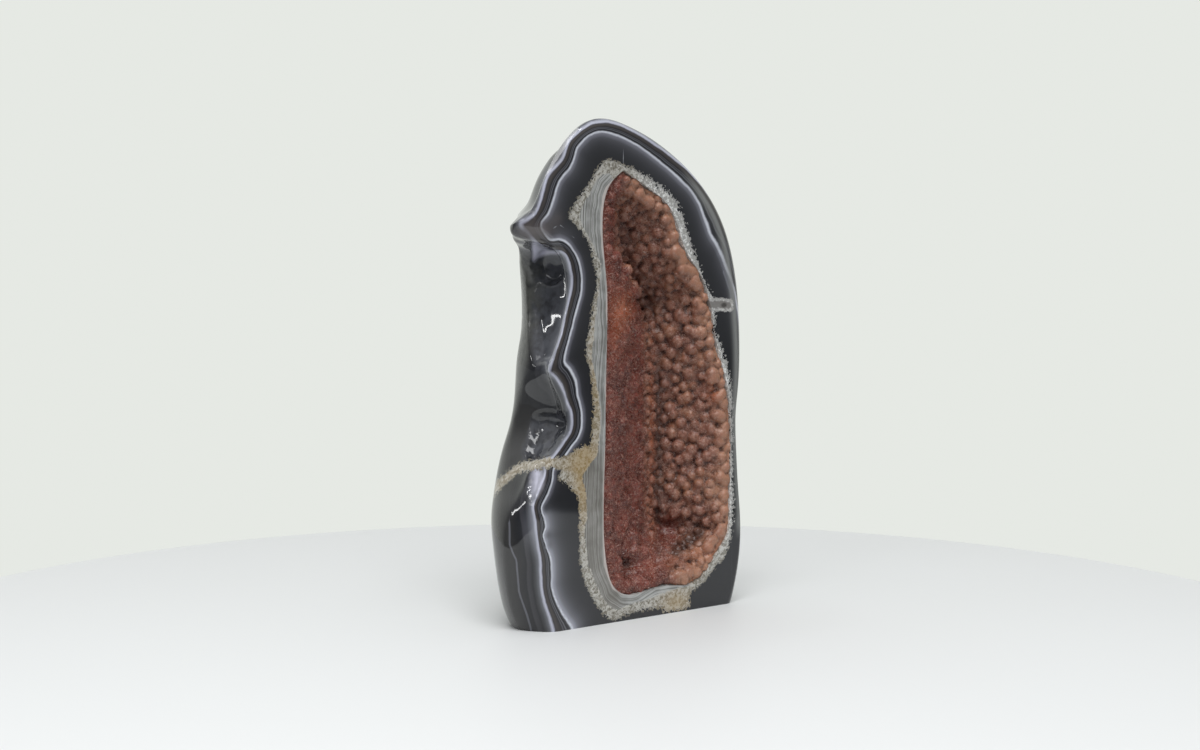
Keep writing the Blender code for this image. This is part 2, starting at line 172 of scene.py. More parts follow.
whiteLine = [  # from the right, over the top and down the left side
    (60, -15), (60, 92), (49.5, 114), (46.5, 123.3), (42.1, 132.5), (37.3, 141.2), (33, 146.3),
    (29.8, 153.4), (26.1, 160), (21.4, 165), (13.1, 170.8), (4.5, 176.2), (-3.1, 180.3),
    (-10.5, 183.5), (-16.9, 185.3), (-22.8, 186), (-27.6, 184.7), (-31, 182.5), (-33.9, 179.9),
    (-35.3, 176.2), (-37.2, 172.6), (-41, 169.3), (-43.4, 165.3), (-45, 160.9), (-47.6, 155.8),
    (-50.9, 151.8), (-47.2, 146.5), (-42.5, 146.5), (-39.2, 145.3), (-35.8, 142.3),
    (-33.2, 138.5), (-31.7, 132.9), (-32, 126.6), (-33.9, 120.7), (-35.9, 114.5), (-37.8, 109),
    (-40.1, 101.4), (-36.8, 97.8), (-34.4, 93.5), (-33.5, 88.2), (-31.8, 82.1), (-31.8, 76.8),
    (-33.5, 72.1), (-37.4, 68.6), (-41.4, 64.3), (-45.3, 61.4), (-45.8, 57.3), (-47.9, 52.3),
    (-51, 47.7), (-49.8, 43.9), (-48.9, 40), (-50.3, 36.8), (-48.4, 32.9), (-46.5, 27.4),
    (-46.1, 21.7), (-46.1, 17.2), (-43.7, 10.9), (-39.4, 4.7), (-36, 0.4), (-33, -15),
]
lavenderLine = [
    (68, -15), (64, 100), (55, 128), (47, 146), (36, 160), (27.6, 167.3), (22.4, 171.2),
    (11.1, 178.1), (-3.1, 185), (-10.5, 187.8), (-16.9, 189.4), (-22.8, 189.5), (-27.6, 188.6),
    (-32.4, 186.2), (-37.2, 182.8), (-39.1, 179.5), (-41, 175.5), (-46.7, 171.1), (-49, 167.5),
    (-50, 163.9), (-51.4, 159.9), (-53.7, 155.9), (-57, 154.1), (-60.7, 152.4), (-57, 149),
    (-53.3, 145.7), (-50, 143.8), (-46.3, 142.2), (-41.5, 141.9), (-38.7, 139.8), (-36.8, 134.9),
    (-36.3, 129.4), (-37.8, 123.8), (-39.7, 118.4), (-41.6, 111), (-47.5, 98), (-44, 95.2),
    (-40.7, 90.5), (-38.8, 85.9), (-36.6, 81.7), (-36.6, 76.1), (-39.3, 71.8), (-45.5, 65.7),
    (-49.3, 64.7), (-49.3, 59.5), (-52.2, 54.2), (-54.8, 48.8), (-54.1, 43.2), (-52.9, 35.6),
    (-51.5, 28), (-51.3, 20.4), (-49.9, 12.8), (-47.6, 6.4), (-45.7, 0.9), (-43, -15),
]
tanVein = [  # a band of grains that crosses the left side
    (-76, 57), (-70.8, 60.3), (-62.9, 64.4), (-56.4, 65.6), (-46.5, 66.0), (-38.8, 65.6), (-29.6, 69),
    (-29, 60), (-38.8, 59.6), (-46.5, 61.9), (-56.4, 61.6), (-62.9, 60.6), (-70.8, 55.6), (-76, 52),
]
faintLeft = [(-56.1, 2.3), (-58.4, 9.3), (-61.7, 17.2), (-62.1, 21.7), (-63, 29.2), (-66, 35.1), (-66, 50)]
faintRight = [(45.5, 112), (43.8, 123.8), (37.3, 138.5)]
hairCracks = [  # each from end to end
    [(-11.0, 187.8), (-11.0, 181.1), (-11.5, 173.6)],
    [(-45.3, 150.6), (-42.0, 151.7), (-38.2, 149.0), (-34.9, 146.7)],
]
# lavender patches of the stone; their colour is painted brighter than their own, as painted light on the
# upper patch, which lies in shade under the elbow
lilacPatch = [
    (-54.7, 146.4), (-51.0, 144.2), (-45.8, 142.4), (-41.6, 141.0), (-47.0, 140.6), (-52.0, 139.4),
    (-53.8, 137.7), (-55.2, 138.4), (-55.6, 142.8),
]
lilacFoot = [
    (-55.0, 64.5), (-50.3, 63.3), (-49.3, 57.6), (-51.7, 51.5), (-55.5, 50.8), (-56.9, 55.3), (-56.8, 62.0),
]
# a lighter patch on the left side where it mirrors the grey room: painted reflection
reflectionPanel = [
    (-61.8, 100.7), (-55.3, 98.8), (-47.3, 97.6), (-42.1, 92.1), (-39.3, 86.7), (-40.7, 83.1),
    (-51.6, 83.5), (-56.3, 86.0), (-61.9, 87.5),
]
whiteBeads = [(1.3, -49.0, 46.4, 1.3, 1.7), (1.3, -47.7, 37.0, 1.3, 1.7), (1.3, -47.2, 33.2, 1.3, 1.7)]
warmSpots = [(1.0, -29, 60, 8, 9), (0.7, -31, 48, 4, 12), (0.6, -25, 90, 4, 25), (0.8, 16, 4, 8, 5)]
smokySpots = [(1.0, -50, 150, 5, 4), (0.5, -43.5, 154, 3, 3), (1.1, -57.5, 149.5, 4, 3.2)]
orangeSpots = [  # on the crust, as the photo's view projects them on the face
    # the tall strip at x 3.2 beside the crease is painted light bounced between the red walls
    (1.0, -12, 119, 6, 7), (0.4, -15, 108, 4, 7), (0.9, 34.4, 83.4, 3.4, 3.4), (0.7, 3.2, 70, 1.8, 40),
    (0.5, 16, 20, 9, 2.2), (0.5, 33, 22, 7, 2.5),
]
# seen from the camera; the first two are painted shade in the crease and in the pocket beside the flap, the
# last two are small dark spots
shadeSpots = [
    (0.75, 6.5, 62, 2.4, 38), (0.8, 1.5, 121, 5, 5), (0.6, -9.1, 21.4, 1.6, 1.3),
    (0.5, -14.9, 126.7, 1.2, 0.9),
]


def smoothCurve(points, steps=4):  # a closed curve through all the points
    here = np.array(points, float)
    ahead, behind = np.roll(here, -1, axis=0), np.roll(here, 1, axis=0)
    length = np.linalg.norm(ahead - here, axis=1)
    reach = np.minimum(length, np.roll(length, 1))
    chord = ahead - behind
    slope = chord / np.linalg.norm(chord, axis=1)[:, None] * reach[:, None]
    nextSlope = np.roll(slope, -1, axis=0)
    run = []
    for t in np.arange(steps) / steps:
        s = t * t * (3 - 2 * t)
        run.append(here * (1 - s) + ahead * s + slope * t * (1 - t) ** 2 - nextSlope * t * t * (1 - t))
    return [tuple(p) for p in np.stack(run, axis=1).reshape(-1, 2)]


def curveDistance(x, z, curve):
    best = np.full(x.shape, 1e9)
    for (ax, az), (bx, bz) in zip(curve, curve[1:] + curve[:1]):
        dx, dz = bx - ax, bz - az
        t = np.clip(((x - ax) * dx + (z - az) * dz) / max(dx * dx + dz * dz, 1e-9), 0, 1)
        best = np.minimum(best, np.hypot(x - ax - t * dx, z - az - t * dz))
    return best


def insideCurve(x, z, curve):
    inside = np.zeros(x.shape, bool)
    for (ax, az), (bx, bz) in zip(curve, curve[1:] + curve[:1]):
        if az != bz:
            crosses = (az > z) != (bz > z)
            inside ^= crosses & (x < (bx - ax) * (z - az) / (bz - az) + ax)
    return inside


def signedDistance(x, z, curve):  # negative inside
    distance = curveDistance(x, z, curve)
    return np.where(insideCurve(x, z, curve), -distance, distance)


def onLine(line, at, known=0):  # z of an open line at these x, or with known=1 its x at these z
    return np.interp(at, [p[known] for p in line], [p[1 - known] for p in line])


def bell(x, z, atX, atZ, reachX, reachZ):
    return np.exp(-(((x - atX) / reachX) ** 2) - ((z - atZ) / reachZ) ** 2)


def bells(x, z, spots):  # spots: share, x, z and the reach along x and z
    return sum(share * bell(x, z, *spot) for share, *spot in spots)


# the stone
stoneLook = {
    "faceGrain": 1.0,  # mm between the points of the polished face
    "edgeMargin": 0.55,  # of that, kept free along the face's edges
    "lineGap": 6.0,  # layer units between the white and the lavender line
    "sideFrom": -10.0,  # mm, left of this x the layers run back over the side
    "sideTo": -30.0,
    "sharpEdge": 55,  # degrees, creased where the stone is subdivided
    "fineSide": (-26, 34, 30),  # x, depth and z up to which the left side gets finer faces, mm
    "fineBack": 22,  # and the depth behind which the back does
    "backFrom": (9, 22),  # depth where the layers of the back set in, and how much later on the left
    "backBlend": 16,
    "backLayer": 12,
    "offBack": 120,  # keeps the drawn lines off the back
    "skinWidth": 1.7,
    "rindSeed": 3.7,
    "smoothAngle": 38,  # degrees
}


def polishFace(piece):  # fills the open face with small even triangles, to store the layers on
    step = stoneLook["faceGrain"] * mm
    mesh = bmesh.new()
    mesh.from_mesh(piece.data)
    rim = [e for e in mesh.edges if e.is_boundary]
    rimPoints = list({v for e in rim for v in e.verts})
    place = {v: i for i, v in enumerate(rimPoints)}
    tree = kdtree.KDTree(len(rimPoints))
    for point, i in place.items():
        point.co.y = frontY
        tree.insert(point.co, i)
    tree.balance()
    plan = [Vector((v.co.x, v.co.z)) for v in rimPoints]
    x, row = stoneLow.x, 0
    while x < stoneHigh.x:
        z = (row % 2) * step / 2
        while z < stoneHigh.z:
            spot = Vector((x, frontY, z))
            if tree.find(spot)[2] > step * stoneLook["edgeMargin"]:
                plan.append(Vector((x, z)))
            z += step
        x += step * math.sqrt(3) / 2
        row += 1
    lines = [(place[e.verts[0]], place[e.verts[1]]) for e in rim]
    points, _, faces, origins, *_ = geometry.delaunay_2d_cdt(plan, lines, [], 0, 1e-7)
    centres = np.array([sum((points[i] for i in f), Vector((0, 0))) / 3 for f in faces])
    outer, inner = chainOf(rim, place, plan)
    keep = insideCurve(centres[:, 0], centres[:, 1], outer)
    keep &= ~insideCurve(centres[:, 0], centres[:, 1], inner)
    made = []
    for spot, source in zip(points, origins):
        known = [i for i in source if i < len(rimPoints)]
        made.append(rimPoints[known[0]] if known else mesh.verts.new((spot.x, frontY, spot.y)))
    for face, used in zip(faces, keep):
        if used:
            a, b, c = (made[i] for i in face)
            flat = (b.co - a.co).cross(c.co - a.co)
            mesh.faces.new((a, b, c) if flat.y < 0 else (a, c, b))
    loose = [v for v in mesh.verts if not v.link_faces]
    bmesh.ops.delete(mesh, geom=loose, context="VERTS")
    mesh.to_mesh(piece.data)
    mesh.free()
    return outer


def chainOf(rim, place, plan):  # the closed loops of the rim as lists of (x, z), the longest first
    neighbours = {}
    for edge in rim:
        a, b = (place[v] for v in edge.verts)
        neighbours.setdefault(a, []).append(b)
        neighbours.setdefault(b, []).append(a)
    loops, seen = [], set()
    for start in neighbours:
        if start in seen:
            continue
        loop, at, last = [], start, None
        while at not in seen:
            seen.add(at)
            loop.append(tuple(plan[at]))
            onward = [n for n in neighbours[at] if n != last and n not in seen]
            last, at = at, onward[0] if onward else start
        loops.append(loop)
    return sorted(loops, key=lambda p: -sum(math.dist(a, b) for a, b in zip(p, p[1:])))


stone = mergedCopy("agate_body", "banded_stone")
editMode(stone)
data = bmesh.from_edit_mesh(stone.data)
for face in data.faces:
    middle = face.calc_center_median()
    face.select = face.normal.y < -0.999 and middle.y < frontY + 0.05 * mm
bmesh.update_edit_mesh(stone.data)
bpy.ops.mesh.delete(type="FACE")
bpy.ops.mesh.select_all(action="SELECT")
bpy.ops.mesh.tris_convert_to_quads(face_threshold=math.radians(25), shape_threshold=math.radians(50))
bpy.ops.mesh.select_all(action="DESELECT")
bpy.ops.mesh.select_mode(type="EDGE")
bpy.ops.mesh.edges_select_sharp(sharpness=math.radians(stoneLook["sharpEdge"]))
bpy.ops.transform.edge_crease(value=1.0)
objectMode()
addModifier(stone, "SUBSURF", levels=2, render_levels=2, boundary_smooth="ALL")

dips = [  # polished into the left side; outlines as the photo's view projects them on the face, mm
    {"deep": 2.6, "slope": 4.0, "ripple": 0.03, "edge": [
        (-52.0, 144.6), (-46.5, 145.6), (-41.1, 143.2), (-37.7, 136.4), (-38.2, 123.9), (-41.1, 112.9),
        (-44.5, 101.9), (-51.1, 100.1), (-55.3, 101.0), (-56.7, 113.6), (-57.4, 128.3), (-55.8, 138.5)]},
    {"deep": 3.2, "slope": 2.4, "ripple": 0.12, "edge": [
        (-55.7, 136.3), (-54.2, 139.9), (-51.0, 141.6), (-46.3, 141.1), (-43.0, 138.1), (-42.0, 134.4),
        (-44.4, 131.1), (-48.7, 129.8), (-52.9, 131.0), (-55.2, 133.3)]},
    {"deep": 3.6, "slope": 3.6, "ripple": 0.30, "edge": [
        (-56.3, 82.3), (-51.6, 83.5), (-44.0, 82.6), (-38.3, 80.3), (-36.4, 76.4), (-38.3, 71.7),
        (-42.6, 67.9), (-48.4, 66.1), (-54.5, 65.5), (-60.1, 65.2), (-61.5, 69.8), (-59.1, 74.8),
        (-57.7, 79.1)]},
    {"deep": 1.5, "slope": 3.0, "ripple": 0.22, "edge": [
        (-55.9, 62.7), (-49.8, 64.0), (-47.9, 59.4), (-49.3, 53.2), (-53.6, 48.7), (-57.4, 50.9),
        (-59.2, 56.7)]},
]
rippleSize = 3.4  # mm
pulls = [  # the elbow above the dips and the lower bulge: place (x, depth, z), reach and move, mm
    {"at": (-53.0, 11.0, 149.5), "reach": 9.5, "move": (-3.8, 0.0, -4.6)},
    {"at": (-53.5, 11.0, 146.0), "reach": 3.5, "move": (-1.5, 0.0, 0.0)},
    {"at": (-45.5, 18.0, 145.5), "reach": 5.5, "move": (-3.0, -0.8, -0.6)},
    {"at": (-55.0, 14.0, 30.0), "reach": 20.0, "move": (-1.5, 0.0, 0.0)},
]
outlinePulls = [  # in the photo's view: x and z on the face, reach, depths where it sets in, x move
    {"at": (-55.5, 155.0), "reach": (6.0, 3.4), "from": (2, 8), "move": -4.4},
    {"at": (-64.0, 75.0), "reach": (7.5, 19.0), "from": (1, 6), "move": 3.2},
    {"at": (-63.0, 17.0), "reach": (9.0, 14.0), "from": (1, 6), "move": -1.2},
    {"at": (-29.0, 190.0), "reach": (8.0, 6.0), "from": (1, 6), "move": -1.6},
    {"at": (53.0, 56.0), "reach": (6.0, 33.0), "from": (-2, -1), "move": -2.2},
]


def faceView(spots):  # x and z in mm where the points, seen from the camera, fall on the sawn face
    toFace = (frontY - eye.y) / (spots[:, 1] - eye.y)
    x = (eye.x + (spots[:, 0] - eye.x) * toFace) / mm - faceShift
    return x, (eye.z + (spots[:, 2] - eye.z) * toFace) / mm


def carveSide(piece):
    editMode(piece)
    data = bmesh.from_edit_mesh(piece.data)
    sideX, sideDepth, sideZ = stoneLook["fineSide"]
    for face in data.faces:
        middle = face.calc_center_median()
        side = middle.x < sideX * mm and middle.y < frontY + sideDepth * mm and middle.z > sideZ * mm
        face.select = side or middle.y > frontY + stoneLook["fineBack"] * mm
    bmesh.update_edit_mesh(piece.data)
    bpy.ops.mesh.subdivide(number_cuts=1, smoothness=0.0, quadcorner="INNERVERT")
    objectMode()
    spots, normals = vertexArray(piece), normalArray(piece)
    x, z = faceView(spots)
    toEye = np.array(eye) - spots
    toEye /= np.linalg.norm(toEye, axis=1)[:, None]
    seen = smoothStep((normals * toEye).sum(axis=1), -0.15, 0.25)
    seen *= smoothStep((spots[:, 1] - frontY) / mm, 0.2, 3.5)
    sink = np.zeros(len(spots))
    waves = cloud(spots, rippleSize * mm, 2.9)
    for dip in dips:
        share = smoothStep(-signedDistance(x, z, smoothCurve(dip["edge"])), -0.6, dip["slope"])
        sink += (dip["deep"] + dip["ripple"] * waves * 2) * share
    spots -= normals * (sink * seen)[:, None] * mm
    for pull in pulls:
        at = np.array(pull["at"]) * mm + (faceShift * mm, frontY, 0)
        near = np.exp(-((np.linalg.norm(spots - at, axis=1) / (pull["reach"] * mm)) ** 2))
        spots += near[:, None] * np.array(pull["move"]) * mm
    depth = (spots[:, 1] - frontY) / mm
    for pull in outlinePulls:
        near = bell(x, z, *pull["at"], *pull["reach"]) * smoothStep(depth, *pull["from"])
        spots[:, 0] += near * pull["move"] * mm
    piece.data.vertices.foreach_set("co", spots.ravel())


carveSide(stone)
faceOutline = polishFace(stone)
print("stone refined:", len(stone.data.polygons), "faces")

spots = vertexArray(stone)
xMm = spots[:, 0] / mm - faceShift
yMm = (spots[:, 1] - frontY) / mm
zMm = spots[:, 2] / mm
sideShare = smoothStep(xMm, stoneLook["sideFrom"], stoneLook["sideTo"])
faceX, faceZ = (a * sideShare + b * (1 - sideShare) for a, b in zip(faceView(spots), (xMm, zMm)))



def toCurve(curve):  # mm from a drawn curve, negative inside
    return signedDistance(faceX, faceZ, smoothCurve(curve))


toWhite = toCurve(whiteLine) - bells(faceX, faceZ, whiteBeads)
toLavender = toCurve(lavenderLine)
gap = np.maximum(toWhite - toLavender, 0.3)
layer = np.where(toWhite < 0, toWhite, stoneLook["lineGap"] * toWhite / gap)
layer = np.where(toLavender > 0, stoneLook["lineGap"] + toLavender, layer)

roll = cloud(spots, 0.045, 1.3) * 14 + cloud(spots, 0.018, 5.1) * 2.5
backFrom = stoneLook["backFrom"][0] + stoneLook["backFrom"][1] * sideShare
backShare = smoothStep(yMm, backFrom, backFrom + stoneLook["backBlend"])
layer = layer * (1 - backShare) + (stoneLook["backLayer"] + roll) * backShare
storeValues(stone, "layer", layer)

away = backShare * stoneLook["offBack"]
toVein = toCurve(tanVein)
storeValues(stone, "toGrainy", np.minimum(toCurve(grainyEdge), toVein) + away)
storeValues(stone, "toGrey", toCurve(greyEdge) + away)
outline = [(x / mm - faceShift, z / mm) for x, z in faceOutline]
skin = np.exp(-((curveDistance(xMm, zMm, outline) / stoneLook["skinWidth"]) ** 2)) * smoothStep(xMm, 16, 30)
storeValues(stone, "skin", skin * smoothStep(yMm, 0.5, 0.1) * smoothStep(zMm, 24, 34))
storeValues(stone, "frosty", smoothStep(faceX, -12, 6) * smoothStep(faceZ, 14, 40) * (1 - backShare))
storeValues(stone, "leftRim", smoothStep(faceX, 6, -6) * smoothStep(faceZ, 6, 16))
storeValues(stone, "toLilac", np.minimum(toCurve(lilacPatch), toCurve(lilacFoot) * 0.25) + away)
storeValues(stone, "toPanel", toCurve(reflectionPanel) + away)
storeValues(stone, "toHollow", curveDistance(faceX, faceZ, hollowEdge) + away)

low = smoothStep(faceZ, 50, 44)
leftMiddle = smoothStep(faceX, -20, -28) * (1 - low) * smoothStep(faceZ, 150, 143)
width = 2.4 + 0.3 * low - 1.1 * leftMiddle
strength = 0.38 + 0.5 * low - 0.12 * leftMiddle
glow = np.where(toWhite < 0, np.exp(toWhite / width) * strength, 0)
besideDip = smoothStep(faceZ, 92, 100) * smoothStep(faceZ, 148, 144) * smoothStep(faceX, -30, -36)
fade = bell(faceX, faceZ, -55, 40, 10, 9)
outer = np.exp(-toLavender / (0.8 + 1.6 * besideDip + 2.2 * fade)) * (0.3 + 0.12 * besideDip + 0.3 * fade)
glow = np.maximum(glow, np.where(toLavender > 0, outer, 0))
storeValues(stone, "glow", glow * (1 - backShare))

left = faceX - onLine(faintLeft, faceZ, known=1)
left *= 1 + 40 * smoothStep(faceZ, 44, 46)
right = faceX - onLine(faintRight, faceZ, known=1)
right *= 1 + 40 * smoothStep(faceZ, 118, 115) + 40 * smoothStep(faceZ, 132, 135)
storeValues(stone, "toFaint", np.where(faceX < 0, left, right) * (1 + 40 * backShare))
crack = np.full(len(spots), 1e3)
for ends in hairCracks:
    crack = np.minimum(crack, curveDistance(faceX, faceZ, ends + ends[-2:0:-1]))
storeValues(stone, "toCrack", crack + away)
misty = np.zeros(len(spots))
for dip in dips:
    misty = np.maximum(misty, smoothStep(-toCurve(dip["edge"]), 0, 3))
storeValues(stone, "misty", misty * smoothStep(yMm, 0.3, 2.5) * (1 - backShare))

warm = bells(faceX, faceZ, warmSpots) + 0.35 * smoothStep(-toVein, -0.5, 1.0)
storeValues(stone, "warm", np.clip(warm, 0, 1))
storeValues(stone, "dusky", smoothStep(faceZ, 75, 55) * smoothStep(faceX, -8, -16))
spur = np.hypot(np.maximum(np.abs(faceX - 38.2) - 5.2, 0), faceZ - 119.0 + 0.08 * (faceX - 38)) - 2.6
storeValues(stone, "toSpur", spur + away)
storeValues(stone, "toSpurHole", np.hypot((faceX - 40.6) / 1.9, (faceZ - 118.8) / 1.1) - 1 + away)
storeValues(stone, "smoky", np.clip(bells(faceX, faceZ, smokySpots), 0, 1) * (1 - backShare))

leftEdge = smoothStep(yMm, 20, 28) * smoothStep(faceX, -40, -52)
leftEdge *= smoothStep(zMm, 92, 104) * smoothStep(zMm, 158, 148)
patches = cloud(spots, 0.028, stoneLook["rindSeed"]) + 0.35 * cloud(spots, 0.008, 2.2)
storeValues(stone, "rind", np.maximum(leftEdge * 0.45, backShare * smoothStep(patches, -0.02, 0.25)))
selectOnly(stone)
bpy.ops.object.shade_smooth_by_angle(angle=math.radians(stoneLook["smoothAngle"]))
print("layers stored")

# the crust of crystal balls
crustLook = {
    "growth": 0.45,  # mm, so that the crust meets the stone
    "voxel": 0.5,
    "kept": 0.62,  # share of the triangles
    "ballSize": (2.0, 2.6),  # radius on the right and back walls
    "bumpSize": (1.4, 2.6),  # radius on the left wall
    "fillSize": (1.5, 2.3),
    "fillGap": 0.98,  # of the two radii, the least distance of a small ball from its neighbours
    "lift": 2.0,  # how far a ball stands over the plain crust
    "wallLift": 0.9,
    "setBack": 1.5,  # the crust's edge behind the sawn face
    "fillTries": 9000,
    "crownBlur": 26,
    "redWall": (9.0, 19.0),  # x over which the red wall turns into the brown one
    "swell": 1.9,  # of the red wall, mm
    "smallSwell": 0.5,
    "sink": -0.3,  # as far as the two may sink it, so that the stone never shows through
    "roughness": 0.07,  # height of the fine lumps, mm
    "pitShadowWidth": 2.7,
    "seed": 11,
}
dice = random.Random(crustLook["seed"])
crust = mergedCopy("crystal_crust", "druse_wall")
ridge = [(2.3, 26.5), (9.0, 26.0), (15.8, 22.7), (20.0, 23.2), (28.4, 26.0), (36.4, 27.3), (43.3, 29.0)]
# painted shadow along the pit behind the floor ridge
pitShadowLine = [(16.0, 24.6), (20.5, 26.6), (27.5, 29.6)]
ledge = [
    (-24, 141), (-19, 140.3), (-9.2, 138.2), (-3.5, 134.1), (2.5, 128.7), (8.4, 123.4), (14, 115), (16, 108),
]
forms = [  # x, z, reach and how far the crust is pushed in (or, negative, stands out), mm
    (17, 121, 4.5, 1.6),
    (30, 29, 4.5, 0.3),
    (-5, 20.5, 2.2, 1.2),
    (30, 21.5, 4.0, -1.8),
    (19, 23, 4.5, -2.2),
    (2, 25, 5.0, -1.6),
    (37, 25, 3.0, -1.2),
    (-8, 112, 7.0, -1.2),
    (8, 95, 6.0, -0.8),
]


def shapeCrust(piece):  # sharpens the ledge on the left wall and the lumps and pits of the floor
    editMode(piece, "SELECT")
    bpy.ops.mesh.subdivide(number_cuts=1, smoothness=0.0)
    objectMode()
    spots = vertexArray(piece)
    x, z = spots[:, 0] / mm - faceShift, spots[:, 2] / mm
    inside = smoothStep(-signedDistance(x, z, hollowEdge), 0.5, 7.0)
    push = sum(deep * bell(x, z, atX, atZ, reach, reach) for atX, atZ, reach, deep in forms)
    over = (z - onLine(ledge, x)) * 0.7
    along = smoothStep(x, -24, -12) * smoothStep(x, 17, 13)
    push += along * np.where(over > 0, 2.4 * np.exp(-over / 3.5), -1.5 * np.exp(over / 4.0))
    viewX, viewZ = faceView(spots)
    over = viewZ - onLine(ridge, viewX)
    along = smoothStep(viewX, 8, 15) * smoothStep(viewX, 46, 38)
    along *= smoothStep(spots[:, 1] - frontY, 0.5 * mm, 4 * mm)
    rise = along * np.where(over > 0, 0.4 * np.exp(-(((over - 2) / 2.4) ** 2)), -2.8 * np.exp(over / 2.2))
    spots[:, 1] += (push * inside + rise) * mm
    edge = smoothStep((spots[:, 1] - frontY) / mm, 1.5, 0.2)
    spots[:, 1] += edge * crustLook["setBack"] * (1 + 0.4 * cloud(spots, 0.004, 7.7)) * mm
    piece.data.vertices.foreach_set("co", spots.ravel())


shapeCrust(crust)


def brownShare(places):  # 0 on the red left wall, 1 on the brown balls of the right and back walls
    low, high = crustLook["redWall"]
    xIn, zIn = places[:, 0] / mm - faceShift, places[:, 2] / mm
    right = smoothStep(xIn + 0.04 * (zIn - 60), low, high)
    upper = smoothStep(zIn - (138 - 0.95 * np.maximum(xIn + 9, 0)), -2, 2) * smoothStep(xIn, -13, -5)
    viewX, viewZ = faceView(places)
    bare = bell(viewX, viewZ, 11, 32, 6.5, 8)  # the bare corner above the floor
    return np.maximum(right, 0.9 * upper) * (1 - np.clip(bare * 1.4, 0, 1))


shell = bmesh.new()
shell.from_mesh(crust.data)
shell.normal_update()
balls = []
openFaces = [
    f for f in shell.faces if f.normal.y < -0.12 and f.calc_center_median().y > frontY + 0.8 * mm
]
openPoints = {v for f in openFaces for v in f.verts if v.co.y > frontY + 1.0 * mm}
for point in sorted(openPoints, key=lambda v: v.index):
    outward = point.normal
    if all((e.other_vert(point).co - point.co).dot(outward) < -0.12 * mm for e in point.link_edges):
        brown = float(brownShare(np.array([point.co]))[0])
        radius = dice.uniform(*crustLook["ballSize"]) * brown
        radius += dice.uniform(*crustLook["bumpSize"]) * (1 - brown)
        lift = (crustLook["lift"] * brown + crustLook["wallLift"] * (1 - brown)) * mm
        centre = point.co + outward * (lift - radius * mm)
        centre.y = max(centre.y, frontY + 0.85 * radius * mm)
        balls.append((centre, radius * mm, brown))
crowns = len(balls)
weights = [f.calc_area() for f in openFaces]
for face in dice.choices(openFaces, weights, k=crustLook["fillTries"]):
    corners = [v.co for v in face.verts]
    a, b = sorted((dice.random(), dice.random()))
    spot = corners[0] * a + corners[1] * (b - a) + corners[2] * (1 - b)
    brown = float(brownShare(np.array([spot]))[0])
    radius = dice.uniform(*crustLook["fillSize"]) * (0.65 + 0.35 * brown) * mm
    centre = spot + face.normal * ((0.7 + 0.5 * brown) * mm - radius * (0.85 - 0.35 * brown))
    centre.y = max(centre.y, frontY + 0.85 * radius)
    if all((centre - other).length > crustLook["fillGap"] * (radius + size) for other, size, _ in balls):
        balls.append((centre, radius, brown))
shell.free()
print("balls:", crowns, "+", len(balls) - crowns)

addModifier(crust, "DISPLACE", strength=crustLook["growth"] * mm, mid_level=0.0)
bpy.ops.object.select_all(action="DESELECT")
bpy.ops.mesh.primitive_ico_sphere_add(subdivisions=3, radius=1.0)
pattern = bpy.context.object
base = vertexArray(pattern)
sides = [tuple(p.vertices) for p in pattern.data.polygons]
bpy.data.objects.remove(pattern, do_unlink=True)
places, faces = [], []
for centre, radius, _ in balls:
    start = len(places) * len(base)
    stretch = np.array([dice.uniform(0.9, 1.1) for _ in range(3)])
    places.append(base * stretch * radius + np.array(centre))
    faces += [tuple(i + start for i in side) for side in sides]
lumps = bpy.data.objects.new("lumps", bpy.data.meshes.new("lumps"))
lumps.data.from_pydata(np.concatenate(places).tolist(), [], faces)
bpy.context.scene.collection.objects.link(lumps)
selectOnly(crust)
lumps.select_set(True)
bpy.ops.object.join()
addModifier(crust, "REMESH", mode="VOXEL", voxel_size=crustLook["voxel"] * mm)
addModifier(crust, "SMOOTH", factor=0.5, iterations=1)
fine = bpy.data.textures.new("fine_lumps", "CLOUDS")
fine.noise_scale = 1.1 * mm
addModifier(crust, "DISPLACE", strength=crustLook["roughness"] * mm * 2, mid_level=0.5, texture=fine)
spots = vertexArray(crust)
swell = crustLook["swell"] * cloud(spots, 4.5 * mm, 4.4)
swell += crustLook["smallSwell"] * cloud(spots, 2.1 * mm, 8.2)
swell = np.maximum(swell, crustLook["sink"]) * (1 - brownShare(spots))
swell *= smoothStep((spots[:, 1] - frontY) / mm, 0.5, 4.0)
spots += normalArray(crust) * swell[:, None] * mm
# ground flush with the sawn face
overRim = signedDistance(spots[:, 0] / mm - faceShift, spots[:, 2] / mm, hollowEdge) > -0.15
spots[:, 1] = np.maximum(spots[:, 1], frontY + np.where(overRim, 0.3, -0.02) * mm)
crust.data.vertices.foreach_set("co", spots.ravel())
addModifier(crust, "DECIMATE", ratio=crustLook["kept"])
print("crust remeshed:", len(crust.data.polygons), "faces")

ballTree = kdtree.KDTree(len(balls))
for i, (centre, _, _) in enumerate(balls):
    ballTree.insert(centre, i)
ballTree.balance()


def crownShare(piece):  # 1 on top of a ball, 0 in a gap: how far a point stands out of the smoothed crust
    soft = piece.copy()
    soft.data = piece.data.copy()
    bpy.context.scene.collection.objects.link(soft)
    addModifier(soft, "SMOOTH", factor=0.7, iterations=crustLook["crownBlur"])
    rise = ((vertexArray(piece) - vertexArray(soft)) * normalArray(piece)).sum(axis=1) / mm
    bpy.data.objects.remove(soft, do_unlink=True)
    return np.clip(0.5 + rise * 0.65, 0, 1)


